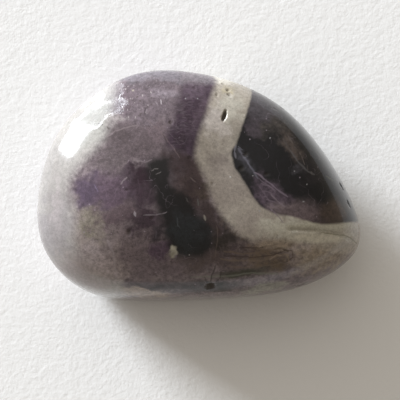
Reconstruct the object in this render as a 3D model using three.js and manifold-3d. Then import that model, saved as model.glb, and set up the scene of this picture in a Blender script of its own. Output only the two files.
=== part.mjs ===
// A drum-polished pebble of banded amethyst. It is one natural stone, so it is one solid.
// Millimetres, +Z up. The origin is on the worn flat that it rests on, under the middle of its outline.
// +X runs to the pointed tip, and -X to the broad round butt.
import * as THREE from "three";
import { mergeVertices } from "three/addons/utils/BufferGeometryUtils.js";
import Module from "manifold-3d";

// ---- Driving dimensions ----
const LENGTH = 30.0; // butt to tip
const FLAT_DEPTH = 0.3; // how much the underside has worn away to the flat
const FACE_DETAIL = 19; // each icosahedron edge is parted in FACE_DETAIL + 1
const EDGE_SHARPNESS = 10; // the higher, the crisper the turn from one worn face to the next

// The tumbled form is a solid of worn faces whose edges have been rounded over.
// Each row: bearing of the face (degrees from +X to +Y), rise above the girdle (degrees),
// and distance from the heart of the stone (mm).
const GIRDLE_FACES = [
  [13, -5, 14.95],
  [38, 8, 11.4],
  [65, -6, 10.5],
  [87, 4, 10.4],
  [122, -20, 10.6],
  [169, 3, 17.05],
  [173, -12, 16.75],
  [227, 0, 15.2],
  [271, 10, 13.5],
  [271, 0, 11.05],
  [304, 12, 14.7],
  [315, -5, 17.4],
];
const SHOULDER_FACES = [
  [22, 37, 11.6],
  [64, 41, 9.55],
  [145, 56, 9.6],
  [187, 43, 13.55],
  [235, 45, 13.0],
  [293, 41, 11.8],
];
const CROWN_FACES = [
  [102, 66, 8.15],
  [191, 70, 8.95],
  [26, 86, 5.75],
  [271, 58, 8.3],
  [329, 70, 9.55],
];
const UNDER_FACES = [
  [23, -44, 14.3],
  [95, -40, 10.95],
  [166, -38, 10.9],
  [222, -48, 15.8],
  [292, -50, 11.1],
  [40, -69, 6.75],
  [0, -90, 6.05],
];

// Low swells and hollows left by the tumbling.
// Each row: bearing and rise of the middle (degrees), half width (degrees), height (mm).
const SWELLS = [
  [205, 62, 26, 0.16],
  [150, 50, 20, -0.12],
  [100, 58, 24, 0.12],
  [45, 60, 22, -0.14],
  [8, 30, 16, 0.14],
  [335, 44, 20, 0.12],
  [300, 52, 20, -0.15],
  [262, 28, 20, 0.12],
  [230, -40, 26, -0.16],
  [60, -42, 24, 0.14],
  [330, -30, 22, -0.14],
  [140, -48, 26, 0.14],
];

// Open pits and chips. Each row: x, y of the middle seen from above (mm),
// length, width and depth (mm), and the turn of the length from +X (degrees).
const PITS = [
  [2.27, 5.7, 1.2, 0.45, 0.45, 74],
  [0.95, -9.75, 1.1, 0.8, 0.45, 60],
  [-2.4, -7.0, 0.9, 0.6, 0.15, 70],
  [13.1, -0.4, 0.8, 0.4, 0.25, 118],
  [13.7, -1.95, 0.7, 0.35, 0.22, 118],
];

// The healed crack that runs out to the tip: a shallow groove through these x, y (mm).
const CRACK_PATH = [
  [8.2, -4.75],
  [10.0, -4.75],
  [11.9, -4.85],
  [12.8, -5.1],
  [14.0, -5.35],
];
const CRACK_WIDTH = 0.35;
const CRACK_DEPTH = 0.16;

// ---- The tumbled form ----

// The unit vector at a bearing and a rise.
function towards(bearing, rise) {
  const b = THREE.MathUtils.degToRad(bearing);
  const r = THREE.MathUtils.degToRad(rise);
  return new THREE.Vector3(Math.cos(r) * Math.cos(b), Math.cos(r) * Math.sin(b), Math.sin(r));
}

const wornFaces = [...GIRDLE_FACES, ...SHOULDER_FACES, ...CROWN_FACES, ...UNDER_FACES].map(
  ([bearing, rise, distance]) => ({ normal: towards(bearing, rise), distance }),
);

const swells = SWELLS.map(([bearing, rise, halfWidth, height]) => ({
  middle: towards(bearing, rise),
  halfWidth: THREE.MathUtils.degToRad(halfWidth),
  height,
}));

// How far the surface lies from the heart of the stone along a unit direction.
function reach(direction) {
  let sum = 0;
  for (const { normal, distance } of wornFaces) {
    const share = Math.max(0, direction.dot(normal)) / distance;
    sum += share ** EDGE_SHARPNESS;
  }
  let radius = sum ** (-1 / EDGE_SHARPNESS);
  for (const { middle, halfWidth, height } of swells) {
    const offset = direction.angleTo(middle) / halfWidth;
    radius += height * Math.exp(-offset * offset);
  }
  return radius;
}

function tumbledForm() {
  const form = new THREE.IcosahedronGeometry(1, FACE_DETAIL);
  const place = form.attributes.position;
  const point = new THREE.Vector3();
  for (let i = 0; i < place.count; i++) {
    point.fromBufferAttribute(place, i).normalize();
    point.multiplyScalar(reach(point));
    place.setXYZ(i, point.x, point.y, point.z);
  }
  return form;
}

// ---- Solids and geometries ----

const wasm = await Module();
wasm.setup();

function toSolid(geometry) {
  const bare = geometry.index ? geometry.toNonIndexed() : geometry.clone();
  bare.deleteAttribute("normal");
  bare.deleteAttribute("uv");
  const merged = mergeVertices(bare, 1e-5);
  return new wasm.Manifold(
    new wasm.Mesh({
      numProp: 3,
      vertProperties: new Float32Array(merged.attributes.position.array),
      triVerts: new Uint32Array(merged.index.array),
    }),
  );
}

function toGeometry(solid) {
  const mesh = solid.getMesh();
  const geometry = new THREE.BufferGeometry();
  geometry.setAttribute("position", new THREE.BufferAttribute(mesh.vertProperties, 3));
  geometry.setIndex(new THREE.BufferAttribute(mesh.triVerts, 1));
  geometry.computeVertexNormals();
  return geometry;
}

// ---- Settling and cutting ----

// The form with its worn flat, brought to its length and stood centred on the origin.
function settledForm() {
  const form = tumbledForm();
  form.computeBoundingBox();
  const lowest = form.boundingBox.min.z;
  const block = new THREE.BoxGeometry(2 * LENGTH, 2 * LENGTH, LENGTH);
  block.translate(0, 0, lowest + FLAT_DEPTH - LENGTH / 2);
  const settled = toGeometry(toSolid(form).subtract(toSolid(block)));
  settled.computeBoundingBox();
  const { min, max } = settled.boundingBox;
  const scale = LENGTH / (max.x - min.x);
  settled.translate(-(min.x + max.x) / 2, -(min.y + max.y) / 2, -min.z);
  return settled.scale(scale, scale, scale);
}

// The spot on the crown above x, y, with the normal of the face there.
function crownSpot(crown, x, y) {
  const above = new THREE.Vector3(x, y, LENGTH);
  const down = new THREE.Vector3(0, 0, -1);
  const [hit] = new THREE.Raycaster(above, down).intersectObject(crown);
  return { point: hit.point, normal: hit.face.normal };
}

// An egg-shaped cutter, sunk to its depth in the crown.
function pitCutter(crown, [x, y, length, width, depth, turn]) {
  const { point, normal } = crownSpot(crown, x, y);
  const tilt = new THREE.Quaternion().setFromUnitVectors(new THREE.Vector3(0, 0, 1), normal);
  const cutter = new THREE.SphereGeometry(1, 12, 8);
  cutter.scale(length / 2, width / 2, depth);
  cutter.rotateZ(THREE.MathUtils.degToRad(turn));
  cutter.applyQuaternion(tilt);
  return cutter.translate(point.x, point.y, point.z);
}

// A wire of diamond section that follows the crack, half of it above the crown.
function crackCutter(crown) {
  const route = CRACK_PATH.map(([x, y]) => crownSpot(crown, x, y).point);
  const section = new THREE.Shape([
    new THREE.Vector2(CRACK_DEPTH, 0),
    new THREE.Vector2(0, CRACK_WIDTH / 2),
    new THREE.Vector2(-CRACK_DEPTH, 0),
    new THREE.Vector2(0, -CRACK_WIDTH / 2),
  ]);
  return new THREE.ExtrudeGeometry(section, {
    steps: 24,
    extrudePath: new THREE.CatmullRomCurve3(route),
  });
}

function amethystStone() {
  const settled = settledForm();
  const crown = new THREE.Mesh(settled);
  const cutters = [...PITS.map((pit) => pitCutter(crown, pit)), crackCutter(crown)];
  const solid = cutters.reduce((rest, cutter) => rest.subtract(toSolid(cutter)), toSolid(settled));
  const material = new THREE.MeshStandardMaterial({ color: 0x6f6670, roughness: 0.12, metalness: 0 });
  const stone = new THREE.Mesh(toGeometry(solid), material);
  stone.name = "amethyst_stone";
  return stone;
}

const part = new THREE.Group();
part.add(amethystStone());

export default part;
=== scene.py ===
"""Dresses the tumbled amethyst: a dense polished mesh, its banded finish, a paper table and soft light."""

import logging
import math
from dataclasses import dataclass, field
from enum import Enum
from typing import Sequence

import bpy
import numpy as np
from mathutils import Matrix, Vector

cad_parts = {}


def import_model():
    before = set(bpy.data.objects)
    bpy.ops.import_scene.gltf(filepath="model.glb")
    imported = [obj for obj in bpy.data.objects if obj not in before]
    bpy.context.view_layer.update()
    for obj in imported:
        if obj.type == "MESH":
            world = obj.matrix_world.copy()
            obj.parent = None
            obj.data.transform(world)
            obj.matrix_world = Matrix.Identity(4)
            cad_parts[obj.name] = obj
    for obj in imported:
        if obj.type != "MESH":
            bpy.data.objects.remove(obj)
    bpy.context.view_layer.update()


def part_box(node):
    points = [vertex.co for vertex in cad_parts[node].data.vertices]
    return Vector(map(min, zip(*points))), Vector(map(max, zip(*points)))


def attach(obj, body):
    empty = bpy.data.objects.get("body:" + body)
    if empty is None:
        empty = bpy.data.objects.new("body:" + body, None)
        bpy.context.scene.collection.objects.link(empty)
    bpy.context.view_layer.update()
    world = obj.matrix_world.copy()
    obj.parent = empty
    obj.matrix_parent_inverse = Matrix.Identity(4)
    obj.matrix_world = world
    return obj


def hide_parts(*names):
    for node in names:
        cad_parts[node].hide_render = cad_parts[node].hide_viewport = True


LOG = logging.getLogger("amethyst")

STONE_NODE = "amethyst_stone"
STONE_BODY = "root"

MM = 0.001
MM_PER_METRE = 1000.0

Triple = tuple[float, float, float]
Pair = tuple[float, float]
Socket = bpy.types.NodeSocket

BLACK = (0.0, 0.0, 0.0)
TINY = 1e-12  # keeps a division off zero


def rgb(*channels: int) -> Triple:
    """A screen colour, its channels from 0 to 255, as a linear colour from 0 to 1."""
    shares = (channel / 255.0 for channel in channels)
    return tuple(share / 12.92 if share <= 0.04045 else ((share + 0.055) / 1.055) ** 2.4 for share in shares)


def towards(bearing: float, rise: float) -> np.ndarray:
    """The unit vector at a bearing, in degrees from +X towards +Y, and a rise above the girdle."""
    b, r = math.radians(bearing), math.radians(rise)
    return np.array([math.cos(r) * math.cos(b), math.cos(r) * math.sin(b), math.sin(r)])


# ---- The form ----


@dataclass(frozen=True)
class WornFace:
    """One broad face that the tumbling wore on the stone."""

    bearing: float
    rise: float
    distance: float


@dataclass(frozen=True)
class Swell:
    """A low swell, or a hollow where its height is negative."""

    bearing: float
    rise: float
    half_width: float
    height: float


class PitForm(Enum):
    """How the floor of a pit is shaped."""

    BOWL = "bowl"
    SLOT = "slot"
    FLAKE = "flake"


@dataclass(frozen=True)
class Pit:
    """An open pit or chip, placed by the x and y it has seen from above (mm, degrees)."""

    x: float
    y: float
    length: float
    width: float
    depth: float
    turn: float
    form: PitForm = PitForm.BOWL


@dataclass(frozen=True)
class HealedCrack:
    """The shallow groove of a healed crack, as a path of x, y seen from above (mm)."""

    path: tuple[Pair, ...]
    width: float
    depth: float


@dataclass
class TumbledForm:
    """The smooth solid of rounded worn faces that all the detail sits on. Sizes in mm."""

    sharpness: float = 10.0
    flat_depth: float = 0.3
    faces: tuple[WornFace, ...] = tuple(WornFace(*row) for row in (
        (13, -5, 14.95), (38, 8, 11.4), (65, -6, 10.5), (87, 4, 10.4), (122, -20, 10.6), (169, 3, 17.05),
        (173, -12, 16.75), (227, 0, 15.2), (271, 10, 13.5), (271, 0, 11.05), (304, 12, 14.7), (315, -5, 17.4),
        (22, 37, 11.6), (64, 41, 9.55), (145, 56, 9.6), (187, 43, 13.55), (235, 45, 13.0), (293, 41, 11.8),
        (102, 66, 8.15), (191, 70, 8.95), (26, 86, 5.75), (271, 58, 8.3), (329, 70, 9.55), (23, -44, 14.3),
        (95, -40, 10.95), (166, -38, 10.9), (222, -48, 15.8), (292, -50, 11.1), (40, -69, 6.75),
        (0, -90, 6.05),
    ))
    swells: tuple[Swell, ...] = tuple(Swell(*row) for row in (
        (205, 62, 26, 0.16), (150, 50, 20, -0.12), (100, 58, 24, 0.12), (45, 60, 22, -0.14),
        (8, 30, 16, 0.14), (335, 44, 20, 0.12), (300, 52, 20, -0.15), (262, 28, 20, 0.12),
        (230, -40, 26, -0.16), (60, -42, 24, 0.14), (330, -30, 22, -0.14), (140, -48, 26, 0.14),
    ))

    def reach(self, directions: np.ndarray) -> np.ndarray:
        """How far the surface lies from the heart of the stone.

        Args:
            directions: Unit vectors, one a row.

        Returns:
            One distance a row, in mm.
        """
        share = np.zeros(len(directions))
        for face in self.faces:
            along = np.maximum(0.0, directions @ towards(face.bearing, face.rise)) / face.distance
            share += along**self.sharpness
        radius = share ** (-1.0 / self.sharpness)
        for swell in self.swells:
            middle = towards(swell.bearing, swell.rise)
            turn = np.arccos(np.clip(directions @ middle, -1.0, 1.0))
            radius += swell.height * np.exp(-((turn / math.radians(swell.half_width)) ** 2))
        return radius

    def points(self, directions: np.ndarray) -> np.ndarray:
        """Surface points with the worn flat already made.

        Args:
            directions: Unit vectors, one a row.

        Returns:
            Points in mm around the heart of the stone, one a row.
        """
        found = directions * self.reach(directions)[:, None]
        found[:, 2] = np.maximum(found[:, 2], found[:, 2].min() + self.flat_depth)
        return found


def cube_sphere(parts: int) -> tuple[np.ndarray, np.ndarray]:
    """A closed ball of four-sided faces with no poles.

    Args:
        parts: How many faces lie along each edge of the cube that is blown up.

    Returns:
        The unit vectors of the corners, and the four corner numbers of each face.
    """
    steps = np.arange(parts + 1)
    rows, columns = np.meshgrid(steps, steps, indexing="ij")
    lattice, quads = [], []
    for axis in range(3):
        for end in (0, parts):
            side = np.empty((*rows.shape, 3), dtype=np.int64)
            side[..., axis] = end
            side[..., (axis + 1) % 3] = rows
            side[..., (axis + 2) % 3] = columns
            number = np.arange(rows.size).reshape(rows.shape) + len(lattice) * rows.size
            ring = [number[:-1, :-1], number[1:, :-1], number[1:, 1:], number[:-1, 1:]]
            if end == 0:
                ring.reverse()
            lattice.append(side.reshape(-1, 3))
            quads.append(np.stack(ring, axis=-1).reshape(-1, 4))
    every = np.concatenate(lattice)
    unique, place = np.unique(every, axis=0, return_inverse=True)
    corners = np.tan((unique / parts * 2.0 - 1.0) * math.pi / 4.0)
    corners /= np.linalg.norm(corners, axis=1)[:, None]
    return corners, place.reshape(-1)[np.concatenate(quads)]


def corner_normals(points: np.ndarray, quads: np.ndarray) -> np.ndarray:
    """Outward normals at the corners of a closed mesh.

    Args:
        points: The corners, one a row.
        quads: Four corner numbers a face.

    Returns:
        Unit vectors, one a corner.
    """
    across = points[quads[:, 2]] - points[quads[:, 0]]
    other = points[quads[:, 3]] - points[quads[:, 1]]
    face = np.cross(across, other)
    total = np.zeros_like(points)
    for corner in range(4):
        np.add.at(total, quads[:, corner], face)
    return total / np.maximum(np.linalg.norm(total, axis=1), TINY)[:, None]


def smooth_path(points: Sequence[Pair], steps: int = 12, closed: bool = False) -> np.ndarray:
    """A rounded line through given points.

    Args:
        points: The points to pass through.
        steps: How many short runs go between two of them.
        closed: Whether the line comes back to its start.

    Returns:
        The points of the rounded line, one a row.
    """
    given = np.array(points, float)
    if closed:
        padded = np.vstack([given[-1], given, given[0], given[1]])
    else:
        padded = np.vstack([2 * given[0] - given[1], given, 2 * given[-1] - given[-2]])
    t = np.linspace(0.0, 1.0, steps, endpoint=False)[:, None]
    runs = []
    for before, start, end, after in zip(padded, padded[1:], padded[2:], padded[3:]):
        bend = (2 * before - 5 * start + 4 * end - after) * t**2
        twist = (3 * start - before - 3 * end + after) * t**3
        runs.append(0.5 * (2 * start + (end - before) * t + bend + twist))
    if not closed:
        runs.append(given[-1:])
    return np.vstack(runs)


def distance_to_path(spots: np.ndarray, path: np.ndarray) -> np.ndarray:
    """The shortest distance from each spot to a line of points.

    Args:
        spots: Points in the plane, one a row.
        path: The line's points, one a row.

    Returns:
        One distance a spot.
    """
    best = np.full(len(spots), np.inf)
    for start, end in zip(path[:-1], path[1:]):
        run = end - start
        length = max(float(run @ run), TINY)
        along = np.clip(((spots - start) @ run) / length, 0.0, 1.0)
        gap = spots - start - along[:, None] * run
        best = np.minimum(best, np.einsum("ij,ij->i", gap, gap))
    return np.sqrt(best)


def inside_outline(spots: np.ndarray, outline: np.ndarray) -> np.ndarray:
    """Tells which spots lie inside a closed line, by counting crossings.

    Args:
        spots: Points in the plane, one a row.
        outline: The closed line's points, one a row, the first not repeated.

    Returns:
        True for each spot inside.
    """
    inside = np.zeros(len(spots), bool)
    for start, end in zip(outline, np.roll(outline, -1, axis=0)):
        crosses = (start[1] > spots[:, 1]) != (end[1] > spots[:, 1])
        slope = (end[0] - start[0]) / (end[1] - start[1] + TINY)
        inside ^= crosses & (spots[:, 0] < start[0] + (spots[:, 1] - start[1]) * slope)
    return inside


# ---- Node wiring ----


MIX_FIRST, MIX_SECOND, MIX_RESULT = 6, 7, 2  # the colour sockets of a Mix node


@dataclass
class Wiring:
    """A short hand for adding and joining shader nodes in one tree."""

    tree: bpy.types.NodeTree

    def node(self, kind: str, *values: object, **settings: object) -> bpy.types.Node:
        """Adds a node.

        Args:
            kind: The node's type name.
            *values: Its first inputs, in order.
            **settings: Attributes to set on it.

        Returns:
            The new node.
        """
        made = self.tree.nodes.new(kind)
        for name, value in settings.items():
            setattr(made, name, value)
        for socket, value in zip(made.inputs, values):
            self.feed(socket, value)
        return made

    def feed(self, socket: Socket, value: object) -> None:
        """Links a socket to another, or sets it to a plain value.

        Args:
            socket: The input socket.
            value: An output socket, a number or a tuple.
        """
        if isinstance(value, Socket):
            self.tree.links.new(value, socket)
        elif isinstance(value, tuple) and socket.type == "RGBA" and len(value) == 3:
            socket.default_value = (*value, 1.0)
        else:
            socket.default_value = value

    def math(self, operation: str, *values: object) -> Socket:
        """A Math node with its inputs in order."""
        return self.node("ShaderNodeMath", *values, operation=operation).outputs[0]

    def plus(self, first: object, second: object) -> Socket:
        """The sum of two numbers."""
        return self.math("ADD", first, second)

    def less(self, first: object, second: object) -> Socket:
        """The first number less the second."""
        return self.math("SUBTRACT", first, second)

    def flip(self, mask: object) -> Socket:
        """One less a mask."""
        return self.less(1.0, mask)

    def times(self, first: object, second: object, *others: object) -> Socket:
        """The product of two or more numbers."""
        product = self.math("MULTIPLY", first, second)
        return self.times(product, *others) if others else product

    def vector(self, operation: str, *values: object) -> Socket:
        """A Vector Math node's vector output, or its number output where the operation gives a number."""
        made = self.node("ShaderNodeVectorMath", *values, operation=operation)
        return made.outputs[1] if operation in ("LENGTH", "DOT_PRODUCT", "DISTANCE") else made.outputs[0]

    def scale(self, vector: object, amount: object) -> Socket:
        """A vector times a number."""
        return self.vector("SCALE", vector, BLACK, BLACK, amount)

    def noise(self, where: object, scale: object, detail: float = 3.0, rough: float = 0.5) -> bpy.types.Node:
        """A Noise node read at a vector: its lumps a unit, its finer layers and how strong those are."""
        return self.node("ShaderNodeTexNoise", where, 0.0, scale, detail, rough)

    def step(self, value: object, low: object, high: object) -> Socket:
        """A soft step from 0 where the value is low to 1 where it is high."""
        settings = {"interpolation_type": "SMOOTHSTEP", "clamp": False}
        return self.node("ShaderNodeMapRange", value, low, high, **settings).outputs["Result"]

    def split(self, vector: object) -> bpy.types.bpy_prop_collection:
        """The x, y and z of a vector."""
        return self.node("ShaderNodeSeparateXYZ", vector).outputs

    def attribute(self, name: str) -> Socket:
        """Reads a number that the mesh holds."""
        return self.node("ShaderNodeAttribute", attribute_name=name).outputs["Fac"]

    def mix(self, share: object, first: object, second: object, blend: str = "MIX") -> Socket:
        """Lays one colour over another.

        Args:
            share: How much of the second shows.
            first: The colour below.
            second: The colour on top.
            blend: The node's way of blending.

        Returns:
            The mixed colour's socket.
        """
        made = self.node("ShaderNodeMix", share, data_type="RGBA", blend_type=blend, clamp_factor=True)
        self.feed(made.inputs[MIX_FIRST], first)
        self.feed(made.inputs[MIX_SECOND], second)
        return made.outputs[MIX_RESULT]

    def use(self, group: bpy.types.NodeTree, **values: object) -> Socket:
        """Places a node group.

        Args:
            group: The group.
            **values: Its inputs by name.

        Returns:
            Its output socket.
        """
        made = self.node("ShaderNodeGroup", node_tree=group)
        for name, value in values.items():
            self.feed(made.inputs[name], value)
        return made.outputs[0]

    def bump(self, shader: bpy.types.Node, height: Socket, strength: float, depth: float) -> None:
        """Presses a height into a shader's normal.

        Args:
            shader: The Principled node.
            height: The height.
            strength: How strongly it shows.
            depth: How deep a height of one is, in mm.
        """
        made = self.node("ShaderNodeBump")
        for name, value in (("Height", height), ("Strength", strength), ("Distance", depth * MM)):
            self.feed(made.inputs[name], value)
        self.feed(shader.inputs["Normal"], made.outputs[0])


def new_group(name: str, vectors: str, numbers: str) -> tuple[Wiring, bpy.types.bpy_prop_collection, Socket]:
    """Starts a shader node group that gives one number.

    Args:
        name: The group's name.
        vectors: The names of its vector inputs, with spaces between.
        numbers: The names of its number inputs, the same way.

    Returns:
        The wiring, the given inputs by name, and the socket to feed the result to.
    """
    group = bpy.data.node_groups.new(name, "ShaderNodeTree")
    for labels, kind in ((vectors, "NodeSocketVector"), (numbers, "NodeSocketFloat")):
        for label in labels.split():
            group.interface.new_socket(label, in_out="INPUT", socket_type=kind)
    group.interface.new_socket("Result", in_out="OUTPUT", socket_type="NodeSocketFloat")
    wiring = Wiring(group)
    enter, leave = wiring.node("NodeGroupInput"), wiring.node("NodeGroupOutput")
    return wiring, enter.outputs, leave.inputs[0]


RAGGED_REACH = 4.0  # how far in mm a wholly ragged zone edge strays
HOLES = (0.66, 0.36)  # between which lumps a broken cloud opens and closes
BLUNT_END = 0.6  # how wide a hairline is at its ends
MIDDLE_SWELL = 2.0  # how fast it widens towards its middle
SPECK_CORE = 0.4  # how much of a speck is solid
LEAST_SPECK = 0.4  # how wide the smallest speck is
FINE_ROUGH = 0.6  # how strong the finest layers of a grain are


@dataclass(frozen=True)
class Effects:
    """The node groups that the finishes share."""

    zone: bpy.types.NodeTree
    cloud: bpy.types.NodeTree
    hairline: bpy.types.NodeTree
    specks: bpy.types.NodeTree
    grain: bpy.types.NodeTree

    @classmethod
    def build(cls) -> "Effects":
        """Makes every group once."""
        return cls(cls._zone(), cls._cloud(), cls._hairline(), cls._specks(), cls._grain())

    @staticmethod
    def _zone() -> bpy.types.NodeTree:
        """A growth zone: a distance to its edge, made ragged, becomes a mask.

        Returns:
            The group.
        """
        wiring, given, result = new_group("growth zone", "", "Inside Lumps Ragged Soft")
        shift = wiring.times(wiring.less(given["Lumps"], 0.5), given["Ragged"])
        edge = wiring.plus(given["Inside"], wiring.times(shift, RAGGED_REACH))
        half = wiring.times(given["Soft"], 0.5)
        wiring.feed(result, wiring.step(edge, wiring.times(half, -1.0), half))
        return wiring.tree

    @staticmethod
    def _cloud() -> bpy.types.NodeTree:
        """A cloud in the quartz: an egg shape with a soft, wispy and broken edge becomes a mask.

        Returns:
            The group.
        """
        wiring, given, result = new_group("cloud", "Place Wisps Middle Radii", "Lumps Turn Soft Drift Broken")
        drifted = wiring.vector("ADD", given["Place"], wiring.scale(given["Wisps"], given["Drift"]))
        from_middle = wiring.vector("SUBTRACT", drifted, given["Middle"])
        angle = wiring.times(given["Turn"], -math.radians(1.0))
        turned = wiring.node("ShaderNodeVectorRotate", rotation_type="Z_AXIS")
        wiring.feed(turned.inputs["Vector"], from_middle)
        wiring.feed(turned.inputs["Angle"], angle)
        away = wiring.vector("LENGTH", wiring.vector("DIVIDE", turned.outputs[0], given["Radii"]))
        low, high = wiring.less(1.0, given["Soft"]), wiring.plus(1.0, given["Soft"])
        whole = wiring.flip(wiring.step(away, low, high))
        holes = wiring.times(wiring.step(given["Lumps"], *HOLES), given["Broken"])
        wiring.feed(result, wiring.times(whole, wiring.flip(holes)))
        return wiring.tree

    @staticmethod
    def _hairline() -> bpy.types.NodeTree:
        """A scratch or veil edge: the distance to a short straight run becomes a thin mask.

        Returns:
            The group.
        """
        wiring, given, result = new_group("hairline", "Place Start Run", "Width")
        from_start, run = wiring.vector("SUBTRACT", given["Place"], given["Start"]), given["Run"]
        length = wiring.vector("DOT_PRODUCT", run, run)
        share = wiring.math("DIVIDE", wiring.vector("DOT_PRODUCT", from_start, run), length)
        along = wiring.math("MINIMUM", wiring.math("MAXIMUM", share, 0.0), 1.0)
        gap = wiring.vector("LENGTH", wiring.vector("SUBTRACT", from_start, wiring.scale(run, along)))
        taper = wiring.times(along, wiring.flip(along), MIDDLE_SWELL)
        width = wiring.times(given["Width"], wiring.plus(BLUNT_END, taper))
        wiring.feed(result, wiring.flip(wiring.step(gap, 0.0, width)))
        return wiring.tree

    @staticmethod
    def _specks() -> bpy.types.NodeTree:
        """Scattered specks of uneven size.

        Returns:
            The group.
        """
        wiring, given, result = new_group("specks", "Place", "Density Size Share")
        cells = wiring.node("ShaderNodeTexVoronoi", given["Place"], 0.0, given["Density"])
        chance = wiring.node("ShaderNodeSeparateColor", cells.outputs["Color"])
        kept = wiring.math("LESS_THAN", chance.outputs[0], given["Share"])
        size = wiring.times(given["Size"], wiring.plus(LEAST_SPECK, chance.outputs[1]))
        spot = wiring.flip(wiring.step(cells.outputs["Distance"], wiring.times(size, SPECK_CORE), size))
        wiring.feed(result, wiring.times(spot, kept))
        return wiring.tree

    @staticmethod
    def _grain() -> bpy.types.NodeTree:
        """A fine two-layer grain around one half, for the quartz, its polish and for paper.

        Returns:
            The group.
        """
        wiring, given, result = new_group("grain", "Place", "Coarse Fine Balance")
        first = wiring.noise(given["Place"], given["Coarse"]).outputs["Fac"]
        second = wiring.noise(given["Place"], given["Fine"], rough=FINE_ROUGH).outputs["Fac"]
        wiring.feed(result, wiring.plus(first, wiring.times(wiring.less(second, first), given["Balance"])))
        return wiring.tree


# ---- The banded quartz ----


@dataclass(frozen=True)
class Cloud:
    """An egg-shaped cloud of colour in the quartz, placed in the growth plane (mm, degrees); a few clouds on
    the lower rim are painted shade or painted reflection instead.
    """

    name: str
    middle: Pair
    radii: Pair
    colour: Triple = BLACK
    turn: float = 0.0
    soft: float = 0.55
    drift: float = 1.0
    broken: float = 0.0
    strength: float = 1.0


@dataclass(frozen=True)
class Zone:
    """A growth zone with a drawn outline, which runs through the stone from top to bottom.

    The outline is in the growth plane: x and y of the crown, which lean over towards the base.
    """

    name: str
    outline: tuple[Pair, ...]
    colour: Triple
    tints: tuple[Cloud, ...] = ()
    ragged: float = 0.15
    soft: float = 0.25


@dataclass(frozen=True)
class Hairline:
    """A scratch, a veil edge or a bright dot near the crown, as a path in the growth plane (mm)."""

    path: tuple[Pair, ...]
    width: float = 0.12
    colour: Triple = rgb(150, 138, 142)
    strength: float = 0.6


@dataclass(frozen=True)
class Grain:
    """A fine two-layer grain: the lumps a mm of each layer, and how much the finer one counts."""

    coarse: float
    fine: float
    balance: float

    def draw(self, wiring: Wiring, effects: Effects, place: Socket) -> Socket:
        """Its height at each place, around one half."""
        layers = {"Coarse": self.coarse, "Fine": self.fine, "Balance": self.balance}
        return wiring.use(effects.grain, Place=place, **layers)


@dataclass(frozen=True)
class Specks:
    """Specks strewn over the stone: how many a mm, how wide, what share of them shows, and their look."""

    density: float
    size: float
    share: float
    colour: Triple
    strength: float


DOT_RUN = (0.06, 0.05)  # how far in mm a dust dot runs
DOT_STRENGTH = 0.8
COMB_JITTER = 0.35  # how uneven the strokes of a comb lie and lean
COMB_LENGTHS = (0.7, 0.3)  # what share of its full run a stroke takes, and how much that varies
COMB_STRENGTHS = (0.55, 0.2)  # how strongly a stroke shows, and how much that varies
COMB_BEATS = (11.0, 7.0, 5.0, 3.0)  # how fast place, lean, length and strength change along a comb


def dot(u: float, v: float, size: float = 0.16, colour: Triple = rgb(150, 148, 150)) -> Hairline:
    """A bright dust dot at u, v in the growth plane (mm), as a very short hairline."""
    return Hairline(((u, v), (u + DOT_RUN[0], v + DOT_RUN[1])), size, colour, DOT_STRENGTH)


def comb(
    start: Pair, end: Pair, count: int, stroke: Pair, width: float, colour: Triple
) -> tuple[Hairline, ...]:
    """A row of short strokes beside each other, such as the teeth of a torn edge.

    Args:
        start: Where the first stroke begins, in the growth plane (mm).
        end: Where the last one begins.
        count: How many strokes there are.
        stroke: How far each runs, by x and y.
        width: How wide each is, in mm.
        colour: Their colour.

    Returns:
        The strokes.
    """
    strokes = []
    place_beat, lean_beat, length_beat, strength_beat = COMB_BEATS
    for number in range(count):
        share = number / (count - 1) + COMB_JITTER * math.sin(place_beat * number) / count
        lean = COMB_JITTER * math.sin(lean_beat * number)
        length = COMB_LENGTHS[0] + COMB_LENGTHS[1] * math.cos(length_beat * number)
        strength = COMB_STRENGTHS[0] + COMB_STRENGTHS[1] * math.sin(strength_beat * number)
        u, v = (first + (last - first) * share for first, last in zip(start, end))
        tip = (u + (stroke[0] - stroke[1] * lean) * length, v + (stroke[1] + stroke[0] * lean) * length)
        strokes.append(Hairline(((u, v), tip), width, colour, strength))
    return tuple(strokes)


CREAM_OUTER = (
    (3.4, 13.0), (2.45, 9.2), (1.55, 7.5), (1.0, 6.0), (0.45, 4.6), (0.0, 3.3), (-0.25, 1.9), (0.05, 1.0),
    (0.65, -0.4), (1.2, -1.8), (1.9, -3.2), (2.85, -4.4), (3.7, -5.3), (4.9, -5.9),
)
CREAM_TAIL = ((6.0, -5.8), (7.6, -5.8), (9.5, -6.1), (11.4, -6.4), (13.6, -6.8), (15.9, -7.1), (19.0, -7.6))
CREAM_INNER = (
    (7.4, 13.0), (6.4, 9.0), (5.35, 7.3), (4.6, 5.7), (4.0, 4.1), (3.75, 3.4), (3.5, 2.75), (3.1, 2.2),
    (3.2, 1.5), (3.35, 0.85), (3.7, 0.25), (4.5, -1.0), (4.95, -1.8), (5.75, -2.8), (7.2, -3.5), (9.0, -3.8),
    (11.4, -4.4), (13.9, -4.3), (19.0, -3.6),
)
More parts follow.
